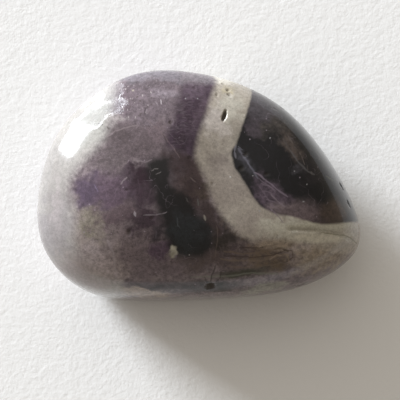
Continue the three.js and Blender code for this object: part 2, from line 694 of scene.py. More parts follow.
CREAM_TINTS = (
    Cloud("cream top", (2.8, 7.9), (3.0, 2.2), rgb(158, 150, 139)),
    Cloud("cream crest", (3.1, 9.35), (1.7, 0.55), rgb(200, 195, 184), drift=0.4),
    Cloud("cream right", (3.2, 6.1), (1.2, 1.1), rgb(176, 171, 160)),
    Cloud("cream left", (1.6, 4.9), (1.0, 1.5), rgb(178, 170, 164)),
    Cloud("cream shade", (2.2, 1.3), (1.4, 1.0), rgb(120, 111, 105), soft=0.8),
    Cloud("cream verge", (4.3, -0.5), (0.6, 2.1), rgb(104, 96, 91), turn=35.0, drift=0.2, strength=0.65),
    Cloud("cream notch", (3.75, 3.4), (0.6, 1.0), rgb(98, 92, 84), drift=0.2, strength=0.35),
    Cloud("cream waist", (2.6, -1.3), (2.2, 1.9), rgb(136, 127, 119)),
    Cloud("cream elbow", (4.8, -4.5), (1.3, 1.0), rgb(146, 137, 129)),
    Cloud("cream arm", (7.7, -4.7), (2.0, 0.8), rgb(175, 170, 158)),
    Cloud("green tail", (11.4, -4.65), (3.8, 0.45), rgb(174, 170, 156), drift=0.3),
    Cloud("pale tail", (11.6, -5.7), (3.6, 0.55), rgb(186, 180, 166), drift=0.3),
    Cloud("yellow stain", (3.3, 8.0), (0.7, 0.5), rgb(168, 158, 126), strength=0.5, broken=0.5),
)
PURPLE_TINTS = (
    Cloud("band top", (0.0, 8.2), (1.5, 1.0), rgb(76, 63, 74)),
    Cloud("band middle", (-0.7, 5.9), (1.1, 1.3), rgb(55, 41, 53)),
    Cloud("band low", (-1.8, 3.1), (1.1, 1.1), rgb(44, 30, 42)),
    Cloud("band edge", (-2.0, 6.2), (0.8, 1.6), rgb(66, 55, 63)),
    Cloud("band rim", (0.6, 9.3), (3.0, 0.7), rgb(110, 102, 107), drift=0.3),
    Cloud("band fringe", (0.3, 5.9), (0.4, 1.7), rgb(74, 60, 71), turn=-20.0, drift=0.3),
)
CORE_TINTS = (
    Cloud("core top", (6.2, 6.6), (2.0, 1.8), rgb(66, 62, 67)),
    Cloud("core haze", (7.5, 4.6), (1.6, 1.0), rgb(60, 55, 53), broken=0.5),
    Cloud("core left", (5.4, 4.7), (0.9, 0.9), rgb(60, 53, 59), broken=0.3),
    Cloud("core edge", (4.4, 1.3), (0.35, 1.6), rgb(48, 47, 53), turn=32.0, drift=0.3, broken=0.3),
    Cloud("core brown", (8.9, 2.6), (0.65, 1.5), rgb(72, 63, 59), turn=35.0, drift=0.6, broken=0.4),
    Cloud("core streak", (9.5, 0.8), (0.8, 0.6), rgb(50, 48, 53), broken=0.4),
    Cloud("core violet", (6.9, -1.9), (1.1, 1.9), rgb(78, 66, 77), turn=42.0, broken=0.25),
    Cloud("core fan", (8.6, -3.3), (1.9, 0.6), rgb(118, 106, 109), turn=-14.0, broken=0.1, drift=0.6),
    Cloud("core low haze", (10.8, 0.5), (1.0, 1.2), rgb(28, 25, 29)),
    Cloud("core foot", (9.4, -3.6), (2.5, 1.2), rgb(92, 80, 83), drift=0.4),
    Cloud("core tip", (13.1, -3.4), (1.5, 1.2), rgb(69, 57, 51), drift=0.5),
)
MILKY_TINTS = (
    # Partly the milky quartz's own pale tone, partly a painted haze of the window's light on the worn rim.
    Cloud("milky brow with painted haze", (-9.0, 7.3), (1.2, 0.6), rgb(170, 166, 162), turn=42.0, drift=0.5),
    Cloud("milky inside", (-9.0, 5.0), (1.2, 2.6), rgb(149, 147, 142), turn=-35.0),
    Cloud("milky left", (-12.6, -0.6), (1.4, 3.2), rgb(138, 134, 131)),
    Cloud("milky fold", (-11.6, -2.4), (1.1, 1.0), rgb(122, 117, 116), strength=0.6),
    Cloud("milky heel", (-12.4, -5.0), (1.8, 2.4), rgb(133, 128, 128)),
    Cloud("milky foot", (-9.6, -8.9), (2.6, 1.3), rgb(145, 136, 135), turn=-35.0),
    Cloud("pink streak", (-12.3, -2.8), (0.28, 2.6), rgb(172, 162, 163), drift=0.6, strength=0.25),
)
BODY_CLOUDS = (
    Cloud("heel", (-8.8, -5.4), (3.4, 3.0), rgb(120, 110, 106)),
    Cloud("pale heel", (-8.0, -7.7), (2.3, 1.9), rgb(150, 139, 140)),
    Cloud("olive heel", (-9.2, -4.0), (0.9, 1.3), rgb(117, 111, 98)),
    Cloud("upper mauve", (-4.8, 6.9), (3.2, 2.4), rgb(101, 90, 96)),
    Cloud("lavender top", (-2.8, 9.5), (4.6, 0.8), rgb(105, 99, 105)),
    Cloud("top shade", (-4.1, 8.4), (1.9, 0.5), rgb(86, 77, 82), drift=0.35),
    Cloud("light bar", (-2.7, 7.5), (1.3, 0.4), rgb(128, 118, 125), broken=0.2, drift=0.35),
    Cloud("brow mauve", (-6.5, 7.2), (0.9, 1.2), rgb(92, 80, 86), drift=0.3, strength=0.6),
    Cloud("milky tongue", (-7.2, 5.1), (1.0, 0.5), rgb(132, 124, 124), turn=30.0),
    Cloud("smooth patch", (-5.7, 3.2), (2.9, 1.7), rgb(91, 80, 84), soft=0.3, drift=0.4),
    Cloud("smooth edge", (-7.3, 3.7), (1.1, 0.9), rgb(79, 69, 72), drift=0.5),
    Cloud("smooth top", (-3.7, 4.0), (1.0, 0.9), rgb(101, 88, 93)),
    Cloud("grey shoulder", (-8.4, 1.4), (1.9, 1.2), rgb(88, 78, 81)),
    Cloud("violet side", (-7.5, -1.4), (2.9, 1.7), rgb(84, 69, 81)),
    Cloud("violet heart", (-9.8, -1.5), (1.1, 1.3), rgb(71, 59, 74)),
    Cloud("brown belly", (-7.4, -3.9), (2.0, 1.2), rgb(86, 72, 77)),
    Cloud("mauve belly", (-6.0, -5.9), (2.4, 1.1), rgb(107, 95, 98)),
    Cloud("violet crest", (-6.2, 0.1), (1.0, 0.6), rgb(72, 60, 68)),
    Cloud("violet shade", (-5.2, -1.3), (1.4, 1.7), rgb(50, 36, 46), broken=0.15),
    Cloud("violet dark", (-4.8, -0.1), (1.1, 0.8), rgb(34, 17, 29), broken=0.2),
    Cloud("dark violet", (-4.8, -4.1), (1.5, 1.2), rgb(52, 39, 48), broken=0.05),
    Cloud("dark fold", (-3.4, -5.3), (0.7, 0.8), rgb(52, 44, 50)),
    Cloud("lower mauve", (-5.1, -7.3), (2.3, 1.3), rgb(104, 92, 97)),
    Cloud("pale crackle", (-6.9, -7.4), (0.5, 1.8), rgb(134, 123, 122), turn=18.0, broken=0.3, strength=0.6),
    Cloud("plum spot", (-3.3, -6.9), (1.0, 0.8), rgb(78, 62, 77)),
    Cloud("mauve foot", (-3.0, -8.6), (2.8, 0.8), rgb(98, 86, 92)),
    Cloud("brown heart", (-0.5, -0.4), (1.5, 3.0), rgb(68, 55, 55), turn=-12.0),
    Cloud("heart shade", (-0.7, -1.5), (1.0, 1.8), rgb(44, 33, 36), turn=-30.0, broken=0.8),
    Cloud("umber", (0.5, -1.7), (0.6, 0.9), rgb(68, 57, 53)),
    Cloud("dark upper", (-1.9, 1.2), (1.4, 1.5), rgb(44, 31, 34), broken=0.25),
    Cloud("dark side", (1.3, -3.9), (1.1, 1.7), rgb(48, 36, 36), turn=28.0, broken=0.2),
    Cloud("dark corner", (2.7, -5.9), (2.0, 1.0), rgb(40, 34, 31), broken=0.1),
    Cloud("brown skirt", (1.8, -7.8), (3.2, 1.0), rgb(72, 60, 60), broken=0.35),
    Cloud("olive brown", (6.4, -7.2), (1.9, 1.1), rgb(92, 78, 66), broken=0.3),
    Cloud("tan upper", (7.4, -6.1), (1.9, 0.6), rgb(136, 123, 110), drift=0.35),
    Cloud("rust", (7.6, -8.3), (1.5, 0.6), rgb(78, 64, 50), broken=0.3, drift=0.35),
    Cloud("tip mauve", (10.8, -6.9), (2.1, 0.9), rgb(166, 155, 149)),
    Cloud("tip tan", (12.2, -7.6), (2.8, 1.2), rgb(130, 117, 103)),
    Cloud("tip pale", (13.3, -6.4), (1.8, 0.8), rgb(158, 148, 136)),
    Cloud("green shade", (4.6, -8.9), (2.2, 0.4), rgb(48, 46, 36), turn=6.0, drift=0.35),
    # Painted shade: these two darken the lower rim where the stone meets its own shadow on the paper.
    Cloud("painted contact shade", (-1.0, -10.2), (4.6, 0.5), rgb(24, 12, 14), broken=0.5, drift=0.35),
    Cloud("painted keel shade", (3.0, -10.1), (1.8, 0.5), rgb(20, 18, 14), broken=0.5, drift=0.35),
    # Painted reflection: these two pale strips stand in for the paper mirrored in the curve of the underside.
    Cloud("painted keel reflection", (7.5, -10.3), (2.2, 0.55), rgb(126, 123, 116), turn=10.0, soft=0.35, drift=0.3),
    Cloud("painted sole reflection", (-4.0, -10.7), (2.6, 0.35), rgb(142, 130, 122), turn=-8.0, soft=0.3, drift=0.35),
)
CROWN_MARKS = (
    # Streaks and a whorl in the brown strip under the cream band.
    Hairline(((2.6, -6.9), (4.4, -7.2), (6.2, -7.0), (7.8, -6.5)), 0.22, rgb(108, 92, 78), 0.5),
    Hairline(((2.4, -7.6), (4.6, -7.8), (6.6, -7.7), (8.4, -7.1)), 0.26, rgb(112, 97, 84), 0.5),
    Hairline(((3.0, -8.3), (5.2, -8.4), (7.2, -8.2), (9.4, -7.5)), 0.22, rgb(98, 84, 74), 0.5),
    Hairline(((4.0, -6.6), (5.8, -6.6), (7.4, -6.2)), 0.18, rgb(50, 36, 30), 0.6),
    Hairline(((2.8, -7.3), (5.0, -7.5), (7.0, -7.3), (8.2, -6.8)), 0.2, rgb(48, 34, 30), 0.6),
    Hairline(((8.0, -6.7), (8.9, -6.9), (9.1, -7.5), (8.4, -7.9), (7.7, -7.7)), 0.2, rgb(60, 44, 36), 0.6),
    Hairline(((8.2, -7.1), (8.6, -7.2), (8.5, -7.5)), 0.2, rgb(128, 112, 94), 0.6),
    # Torn edges along the cream band and the core's fan.
    *comb((3.7, 2.7), (4.6, 1.1), 6, (0.35, -0.25), 0.14, rgb(92, 91, 100)),
    *comb((2.0, -4.5), (4.0, -5.9), 8, (0.3, 0.5), 0.2, rgb(80, 68, 60)),
    *comb((5.6, -0.3), (6.6, -3.0), 6, (1.5, -1.2), 0.14, rgb(112, 99, 110)),
    *comb((8.5, 3.7), (10.5, 0.5), 8, (0.2, -0.5), 0.16, rgb(98, 90, 88)),
    Hairline(((1.75, -4.6), (1.9, -5.6), (1.8, -6.6), (1.9, -7.5)), 0.16, rgb(96, 84, 80), 0.5),
    # Scratches and fibres, from the middle outwards.
    Hairline(((-5.6, 1.35), (-4.9, 1.2), (-4.3, 1.5)), 0.18, rgb(116, 106, 110), 0.7),
    Hairline(((-4.3, 0.4), (-4.0, 0.65), (-3.6, 0.7)), 0.14, rgb(110, 104, 104)),
    Hairline(((-3.9, 0.15), (-3.4, 0.35)), 0.12, rgb(110, 104, 104)),
    Hairline(((-7.0, -0.85), (-6.9, -0.5), (-6.5, -0.15)), 0.18, rgb(128, 116, 122), 0.8),
    Hairline(((-5.5, -0.3), (-5.35, -1.0), (-5.5, -1.7)), 0.2, rgb(70, 56, 66), 0.5),
    Hairline(((-5.9, -3.3), (-5.75, -3.7)), 0.26, rgb(150, 142, 148), 0.8),
    Hairline(((-5.0, -3.65), (-4.0, -3.55), (-3.4, -3.45), (-2.9, -3.3)), 0.14, rgb(120, 112, 118), 0.75),
    Hairline(((-4.9, -2.9), (-4.3, -2.6)), 0.14, rgb(90, 80, 86)),
    Hairline(((-9.3, -0.8), (-9.0, -1.5)), 0.14, rgb(112, 100, 122), 0.6),
    Hairline(((-7.6, -1.6), (-7.1, -1.0)), 0.12, rgb(98, 86, 96), 0.5),
    Hairline(((-4.7, 6.2), (-4.75, 5.7)), 0.16, rgb(44, 36, 42), 0.8),
    Hairline(((-4.55, 6.1), (-4.6, 5.6)), 0.12, rgb(132, 122, 128), 0.6),
    Hairline(((-3.3, 7.0), (-3.3, 6.6)), 0.16, rgb(176, 168, 172), 0.9),
    Hairline(((-3.8, 6.8), (-3.6, 6.5)), 0.13, rgb(140, 130, 136), 0.7),
    Hairline(((-8.1, -5.9), (-7.4, -7.0), (-7.0, -8.5), (-6.8, -9.4)), 0.3, rgb(158, 148, 152), 0.45),
    Hairline(((-10.6, -5.7), (-10.1, -5.2), (-9.9, -4.6)), 0.12, rgb(98, 88, 88), 0.5),
    Hairline(((-3.8, -5.0), (-3.7, -5.7)), 0.14, rgb(86, 80, 88), 0.6),
    Hairline(((-1.9, -3.9), (-1.85, -4.6)), 0.22, rgb(60, 64, 68), 0.7),
    Hairline(((-1.9, -4.4), (-1.6, -4.8)), 0.1, rgb(70, 72, 76), 0.6),
    Hairline(((-0.1, -2.2), (0.0, -2.7)), 0.2, rgb(92, 92, 90), 0.7),
    Hairline(((-1.1, -2.0), (-0.9, -2.4)), 0.16, rgb(80, 78, 78), 0.6),
    Hairline(((-0.8, -0.2), (-0.3, -0.6)), 0.13, rgb(104, 92, 88), 0.6),
    Hairline(((-2.3, -6.6), (-2.05, -6.9), (-2.0, -7.35)), 0.75, rgb(180, 175, 160), 0.95),
    Hairline(((0.55, -3.7), (0.7, -4.1)), 0.26, rgb(138, 132, 124), 0.8),
    Hairline(((3.75, 2.5), (4.1, 1.9), (4.8, 0.9), (5.5, -0.3)), 0.24, rgb(98, 96, 106), 0.6),
    Hairline(((3.5, 2.8), (3.4, 2.2), (3.6, 1.6)), 0.24, rgb(104, 101, 108), 0.7),
    Hairline(((5.2, 0.3), (6.2, -0.4), (7.2, -1.2), (8.2, -1.9)), 0.2, rgb(116, 104, 116), 0.75),
    Hairline(((6.7, -1.7), (7.3, -2.3), (8.0, -2.9)), 0.2, rgb(122, 110, 118), 0.6),
    Hairline(((5.6, -1.0), (6.4, -2.0), (7.0, -2.8)), 0.16, rgb(102, 90, 100), 0.5),
    Hairline(((8.6, 2.4), (9.3, 1.3), (10.2, 0.4), (10.9, 0.1)), 0.26, rgb(84, 82, 84), 0.8),
    Hairline(((8.0, 3.4), (8.6, 2.4)), 0.2, rgb(76, 70, 70), 0.6),
    Hairline(((12.2, 0.0), (13.2, -0.4)), 0.18, rgb(96, 96, 70), 0.5),
    Hairline(((7.0, -7.7), (7.5, -7.2), (8.0, -7.3)), 0.18, rgb(142, 126, 112), 0.6),
    Hairline(((8.4, -7.2), (8.9, -8.0)), 0.14, rgb(132, 116, 98), 0.5),
    Hairline(((1.2, -6.6), (1.5, -7.2), (1.4, -7.9)), 0.2, rgb(92, 80, 84), 0.5),
    Hairline(((2.1, -6.4), (2.4, -7.0)), 0.18, rgb(88, 76, 80), 0.5),
    Hairline(((0.0, -9.3), (3.0, -9.2), (5.5, -8.9), (8.0, -9.0)), 0.24, rgb(104, 106, 96), 0.6),
    Hairline(((11.6, -5.2), (13.4, -5.35), (15.0, -5.7), (16.6, -6.3)), 0.16, rgb(96, 94, 66), 0.6),
    Hairline(((-0.4, 7.4), (0.2, 7.0), (0.9, 6.8)), 0.16, rgb(88, 76, 88), 0.45),
    Hairline(((-0.6, 8.1), (0.1, 7.7), (0.8, 7.5)), 0.16, rgb(92, 80, 92), 0.45),
    Hairline(((-0.9, 6.6), (-0.2, 6.3)), 0.14, rgb(86, 74, 86), 0.4),
    Hairline(((-8.75, 4.9), (-8.4, 4.72)), 0.2, rgb(62, 56, 54), 0.8),
    Hairline(((-8.1, 4.45), (-7.95, 4.3)), 0.2, rgb(70, 64, 60), 0.8),
    Hairline(((-8.1, 3.6), (-7.4, 4.15), (-6.3, 4.35), (-5.4, 4.75)), 0.2, rgb(128, 116, 118), 0.5),
    Hairline(((-4.6, 5.2), (-3.5, 4.2), (-2.6, 2.9), (-1.7, 1.6)), 0.16, rgb(118, 102, 104), 0.4),
    Hairline(((-3.2, 3.8), (-2.9, 3.2)), 0.16, rgb(44, 36, 38), 0.6),
    Hairline(((2.0, -10.0), (1.8, -9.1), (1.95, -8.3)), 0.22, rgb(32, 27, 24), 0.7),
    Hairline(((2.3, -9.9), (2.7, -9.3), (2.6, -8.8)), 0.2, rgb(34, 28, 25), 0.6),
    Hairline(((1.6, -9.9), (1.2, -9.3)), 0.2, rgb(34, 28, 25), 0.6),
    Hairline(((7.2, -6.7), (7.9, -6.6), (8.6, -6.9)), 0.2, rgb(62, 50, 38), 0.5),
    Hairline(((7.6, -8.0), (8.3, -7.6)), 0.18, rgb(58, 46, 34), 0.5),
    Hairline(((6.2, -6.5), (7.0, -6.3), (7.8, -6.2)), 0.2, rgb(140, 126, 112), 0.5),
    # Dust.
    dot(-1.0, 7.1), dot(0.1, 7.1), dot(6.78, 3.42), dot(8.9, 0.45), dot(10.15, -0.8), dot(9.7, -2.4, 0.24),
    dot(5.0, -0.05), dot(2.95, -0.1, 0.2, rgb(190, 188, 184)), dot(0.08, 2.25), dot(-0.55, -7.25, 0.2),
    dot(-6.4, 7.0, 0.18), dot(-6.7, 6.6, 0.16), dot(-5.6, 7.9, 0.3, rgb(160, 152, 140)), dot(5.6, -3.3, 0.24),
)
PALE_ZONES = ("milky cap", "cream band")


class Quality(Enum):
    """What part of the surface a mark changes, stored on the mesh."""

    PITTED = "pitted"
    CRACKED = "cracked"


@dataclass(frozen=True)
class ChevronAmethyst:
    """The finish of the stone: smoky purple quartz with cream and milky growth zones, drum-polished.

    Sizes are in mm. The growth plane leans over by so much a mm below the crown.
    A noise is given by its lumps a mm, its finer layers and how strong those are.
    """

    ground: Triple = rgb(92, 80, 86)
    ground_light: Triple = rgb(112, 101, 104)
    lean: Pair = (0.30, -0.12)
    crown_height: float = 12.0
    crown_low: float = 3.5
    crown_high: float = 5.5
    refraction: float = 1.54
    polish: float = 0.10
    cream_roughness: float = 0.24
    worn_roughness: float = 0.65
    worn_patches: tuple[Cloud, ...] = (
        Cloud("worn gap", (-8.5, 5.8), (2.1, 0.65), turn=27.0, soft=0.5, drift=0.5, broken=0.4),
        Cloud("worn brow", (-7.4, 7.7), (1.1, 0.65), turn=44.0, soft=0.5, drift=0.5, broken=0.2),
    )
    fleck_patch: Cloud = Cloud("fleck patch", (-5.6, 6.9), (2.6, 1.9), soft=0.5)
    streak_patch: Cloud = Cloud(
        "streak patch", (-1.7, 5.9), (2.5, 3.3), rgb(112, 99, 108), turn=-14.0, soft=0.5
    )
    streak_grain: Grain = Grain(2.4, 6.5, 0.7)
    streak_pull: Triple = (0.3, 1.3, 1.0)
    streak_step: Pair = (0.48, 0.64)
    streak_strength: float = 0.38
    pit_dirt: Triple = rgb(60, 52, 42)
    pit_dirt_strength: float = 0.75
    crack_tint: Triple = rgb(112, 108, 90)
    crack_strength: float = 0.4
    vein_tint: Triple = rgb(150, 136, 148)
    vein_strength: float = 0.2
    vein_bend: float = 0.2
    vein_noise: Pair = (0.55, 2.0)
    vein_width: Pair = (0.008, 0.001)
    vein_gap_noise: Pair = (0.35, 2.0)
    vein_gaps: Pair = (0.48, 0.62)
    wisp_noise: Triple = (0.75, 4.0, 0.55)
    wisp_reach: float = 4.0
    lump_noise: Triple = (1.7, 3.0, 0.55)
    fine_grain: Grain = Grain(3.4, 11.0, 0.6)
    ground_step: Pair = (0.35, 0.65)
    speck_slant: Triple = (1.0, 0.6, 1.0)
    dust: Specks = Specks(2.0, 0.15, 0.22, vein_tint, 0.5)
    grit: Specks = Specks(3.0, 0.26, 0.3, pit_dirt, 0.22)
    flecks: Specks = Specks(4.4, 0.34, 0.4, rgb(168, 160, 160), 0.62)
    pocks: Specks = Specks(3.5, 0.32, 0.35, pit_dirt, 0.5)
    mark_shake: float = 0.12
    mark_edge: float = 0.62
    fine_mottle: float = 2.2
    cream_mottle: float = 0.35
    broad_mottle: float = 0.8
    pale_calm: float = 0.55
    polish_relief: float = 0.15
    fleck_relief: float = 0.6
    worn_relief: float = 12.0
    lump_relief: float = 0.35
    relief_strength: float = 0.5
    relief_depth: float = 0.03
    clouds: tuple[Cloud, ...] = BODY_CLOUDS
    marks: tuple[Hairline, ...] = CROWN_MARKS
    zones: tuple[Zone, ...] = (
        Zone("purple band", (
            (-0.4, 13.0), (-1.2, 8.4), (-2.0, 6.5), (-2.2, 5.1), (-2.7, 4.2), (-2.9, 2.8), (-2.0, 2.3),
            (-0.5, 1.7), *CREAM_OUTER[6:0:-1], (3.4, 13.0),
        ), rgb(58, 45, 57), PURPLE_TINTS, ragged=0.16, soft=0.9),
        Zone("black centre", (
            (-4.7, 1.2), (-4.2, -1.2), (-3.9, -2.6), (-3.3, -4.2), (-2.8, -5.8), (-2.0, -7.2), (0.0, -7.5),
            (1.3, -6.8), (1.3, -5.0), (0.2, -3.6), (-1.2, -1.8), (-2.4, -0.9), (-2.6, 1.0), (-3.0, 1.6),
        ), rgb(18, 16, 19), (
            Cloud("centre low", (-0.8, -5.4), (1.8, 1.8), rgb(31, 34, 38)),
        ), ragged=0.3, soft=1.0),
        Zone("milky cap", (
            (-5.2, 12.0), (-6.7, 9.0), (-7.5, 6.6), (-8.4, 3.5), (-10.3, 1.2), (-11.4, -0.8), (-11.1, -2.7),
            (-10.9, -4.0), (-10.6, -6.6), (-8.6, -8.8), (-6.0, -10.2), (-6.0, -14.0), (-20.0, -14.0),
            (-20.0, 12.0),
        ), rgb(150, 146, 142), MILKY_TINTS, ragged=0.08, soft=1.3),
        Zone("cream band", (*CREAM_OUTER, *CREAM_TAIL, (25.0, 0.0), (20.0, 13.0), (6.6, 13.0)),
             rgb(150, 142, 132), CREAM_TINTS, ragged=0.05, soft=0.85),
        Zone("dark core", (*CREAM_INNER, (25.0, 0.0), (20.0, 13.0)), rgb(12, 12, 17), CORE_TINTS,
             ragged=0.07, soft=0.3),
    )

    def growth_plane(self, points: np.ndarray) -> np.ndarray:
        """Where each point lies in the growth plane, in mm, one a row."""
        return points[:, :2] + (self.crown_height - points[:, 2:3]) * np.array(self.lean)

    def draw_zones(self, mesh: bpy.types.Mesh, points: np.ndarray) -> None:
        """Stores on the mesh how far each corner lies inside each zone.

        Args:
            mesh: The stone's mesh.
            points: Its corners in mm, one a row.
        """
        plane = self.growth_plane(points)
        for zone in self.zones:
            outline = smooth_path(zone.outline, closed=True)
            away = distance_to_path(plane, np.vstack([outline, outline[:1]]))
            store(mesh, zone.name, np.where(inside_outline(plane, outline), away, -away))

    def material(self, effects: Effects) -> bpy.types.Material:
        """Builds the shader.

        Args:
            effects: The shared node groups.

        Returns:
            The finished material.
        """
        made = bpy.data.materials.new("chevron amethyst, polished")
        made.use_nodes = True
        shader = made.node_tree.nodes["Principled BSDF"]
        shader.inputs["IOR"].default_value = self.refraction
        QuartzDrawing(Wiring(made.node_tree), effects, self).dress(shader)
        return made


@dataclass
class QuartzDrawing:
    """Wires one quartz material. Holds its coordinates, its noises, its masks and the shade so far."""

    wiring: Wiring
    effects: Effects
    finish: ChevronAmethyst
    place: Socket = field(init=False)
    plane: Socket = field(init=False)
    bent: Socket = field(init=False)
    wisps: Socket = field(init=False)
    lumps: Socket = field(init=False)
    fine: Socket = field(init=False)
    crown: Socket = field(init=False)
    pale: Socket = field(init=False)
    dark: Socket = field(init=False)
    cream: Socket = field(init=False)
    shade: Socket = field(init=False)

    def dress(self, shader: bpy.types.Node) -> None:
        """Feeds the colour, the roughness and the relief to the shader.

        Args:
            shader: The Principled node.
        """
        wiring, finish = self.wiring, self.finish
        self._lay_out()
        for lay in (self._body, self._mottle, self._veins, self._specks, self._streaks, self._marks):
            lay()
        pitted = wiring.attribute(Quality.PITTED.value)
        self._lay(wiring.times(pitted, finish.pit_dirt_strength), finish.pit_dirt)
        cracked = wiring.attribute(Quality.CRACKED.value)
        self._lay(wiring.times(cracked, finish.crack_strength), finish.crack_tint)
        wiring.feed(shader.inputs["Base Color"], self.shade)
        wiring.feed(shader.inputs["Roughness"], self._roughness(pitted))
        wiring.bump(shader, self._relief(), finish.relief_strength, finish.relief_depth)

    def _lay_out(self) -> None:
        """Makes the growth-plane coordinates, the crown's mask and the shared noises."""
        wiring, finish = self.wiring, self.finish
        self.place = wiring.scale(wiring.node("ShaderNodeTexCoord").outputs["Object"], MM_PER_METRE)
        height = wiring.split(self.place)[2]
        depth = wiring.less(finish.crown_height, height)
        leant = wiring.vector("ADD", self.place, wiring.scale((*finish.lean, 0.0), depth))
        self.plane = wiring.vector("MULTIPLY", leant, (1.0, 1.0, 0.0))
        self.crown = wiring.step(height, finish.crown_low, finish.crown_high)
        warp = wiring.noise(self.place, *finish.wisp_noise).outputs["Color"]
        centred = wiring.vector("SUBTRACT", warp, (0.5, 0.5, 0.5))
        self.wisps = wiring.vector("MULTIPLY", centred, (finish.wisp_reach, finish.wisp_reach, 0.0))
        self.lumps = wiring.noise(self.place, *finish.lump_noise).outputs["Fac"]
        self.fine = finish.fine_grain.draw(wiring, self.effects, self.place)

    def _cloud_mask(self, cloud: Cloud) -> Socket:
        """The mask of one cloud.

        Args:
            cloud: The cloud.

        Returns:
            Its mask's socket, with the cloud's strength in it.
        """
        mask = self.wiring.use(
            self.effects.cloud, Place=self.plane, Wisps=self.wisps, Lumps=self.lumps,
            Middle=(*cloud.middle, 0.0), Radii=(*cloud.radii, 1.0), Turn=cloud.turn, Soft=cloud.soft,
            Drift=cloud.drift, Broken=cloud.broken,
        )
        mask.node.label = cloud.name
        return mask if cloud.strength == 1.0 else self.wiring.times(mask, cloud.strength)

    def _crown_mask(self, cloud: Cloud) -> Socket:
        """The mask of one cloud that shows on the crown only."""
        return self.wiring.times(self._cloud_mask(cloud), self.crown)

    def _zone_mask(self, zone: Zone) -> Socket:
        """The mask of one growth zone, from the distance that the mesh holds."""
        shape = {"Inside": self.wiring.attribute(zone.name), "Ragged": zone.ragged, "Soft": zone.soft}
        return self.wiring.use(self.effects.zone, Lumps=self.lumps, **shape)

    def _lay(self, share: object, colour: Triple) -> None:
        """Lays a colour over the shade so far."""
        self.shade = self.wiring.mix(share, self.shade, colour)

    def _body(self) -> None:
        """Lays the clouds and the growth zones over the ground colour."""
        wiring, finish = self.wiring, self.finish
        light = wiring.step(self.lumps, *finish.ground_step)
        self.shade = wiring.mix(light, finish.ground, finish.ground_light)
        for cloud in finish.clouds:
            self._lay(self._cloud_mask(cloud), cloud.colour)
        self.pale = self.cream = 0.0
        for zone in finish.zones:
            inner = zone.colour
            for tint in zone.tints:
                inner = wiring.mix(self._cloud_mask(tint), inner, tint.colour)
            mask = self._zone_mask(zone)
            self._lay(mask, inner)
            if zone.name in PALE_ZONES:
                self.pale = wiring.math("MAXIMUM", self.pale, mask)
                self.cream = mask
            else:
                rest = wiring.flip(mask)
                self.pale, self.cream = wiring.times(self.pale, rest), wiring.times(self.cream, rest)

    def _mottle(self) -> None:
        """Mottles the shade, less on the pale zones than on the dark ones."""
        wiring, finish = self.wiring, self.finish
        fine_reach = wiring.less(finish.fine_mottle, self.pale)
        contrast = wiring.plus(fine_reach, wiring.times(self.cream, finish.cream_mottle))
        swing = wiring.times(wiring.less(self.fine, 0.5), contrast)
        reach = wiring.less(finish.broad_mottle, wiring.times(self.pale, finish.pale_calm))
        broad = wiring.times(wiring.less(self.lumps, 0.5), reach)
        level = wiring.plus(1.0, wiring.plus(swing, broad))
        self.shade = wiring.mix(1.0, self.shade, level, "MULTIPLY")

    def _veins(self) -> None:
        """Lays thin pale veins over the dark quartz."""
        wiring, finish = self.wiring, self.finish
        self.bent = wiring.vector("ADD", self.place, wiring.scale(self.wisps, finish.vein_bend))
        folds = wiring.noise(self.bent, *finish.vein_noise).outputs["Fac"]
        ridge = wiring.less(folds, 0.5)
        line = wiring.step(wiring.math("ABSOLUTE", ridge), *finish.vein_width)
        gaps = wiring.noise(self.place, *finish.vein_gap_noise).outputs["Fac"]
        shown = wiring.step(gaps, *finish.vein_gaps)
        self.dark = wiring.flip(self.pale)
        vein = wiring.times(line, shown, wiring.times(self.dark, finish.vein_strength))
        self._lay(vein, finish.vein_tint)

    def _specks(self) -> None:
        """Strews dust on the dark quartz, grit on the cream, and flecks and pocks on their patch."""
        finish = self.finish
        self._strew(finish.dust, self.place, self.dark)
        self._strew(finish.grit, self.place, self.cream)
        slanted = self.wiring.vector("MULTIPLY", self.bent, finish.speck_slant)
        patch = self._crown_mask(finish.fleck_patch)
        self._strew(finish.flecks, slanted, patch)
        self._strew(finish.pocks, slanted, patch)

    def _strew(self, specks: Specks, place: Socket, shown: Socket) -> None:
        """Strews specks over the shade.

        Args:
            specks: The specks.
            place: Where each spot of the stone lies.
            shown: The mask of where they lie.
        """
        kind = {"Density": specks.density, "Size": specks.size, "Share": specks.share}
        mask = self.wiring.use(self.effects.specks, Place=place, **kind)
        self._lay(self.wiring.times(mask, shown, specks.strength), specks.colour)

    def _streaks(self) -> None:
        """Lays the rubbed streaks over their patch."""
        wiring, finish = self.wiring, self.finish
        pulled = wiring.vector("MULTIPLY", self.bent, finish.streak_pull)
        rubbed = wiring.step(finish.streak_grain.draw(wiring, self.effects, pulled), *finish.streak_step)
        streaks = wiring.times(rubbed, self._crown_mask(finish.streak_patch), finish.streak_strength)
        self._lay(streaks, finish.streak_patch.colour)

    def _marks(self) -> None:
        """Draws the single scratches, veil edges and dots of the crown."""
        wiring, finish = self.wiring, self.finish
        shaken = wiring.vector("ADD", self.plane, wiring.scale(self.wisps, finish.mark_shake))
        for mark in finish.marks:
            mask = 0.0
            for start, end in zip(mark.path, mark.path[1:]):
                run = {"Start": (*start, 0.0), "Run": (end[0] - start[0], end[1] - start[1], 0.0)}
                width = mark.width * finish.mark_edge
                piece = wiring.use(self.effects.hairline, Place=shaken, Width=width, **run)
                mask = wiring.math("MAXIMUM", mask, piece)
            self._lay(wiring.times(mask, self.crown, mark.strength), mark.colour)

    def _worn(self) -> Socket:
        """The patches that the drum has left worn and matt.

        Returns:
            Their mask.
        """
        worn = 0.0
        for patch in self.finish.worn_patches:
            worn = self.wiring.math("MAXIMUM", worn, self._cloud_mask(patch))
        return self.wiring.times(worn, self.crown)

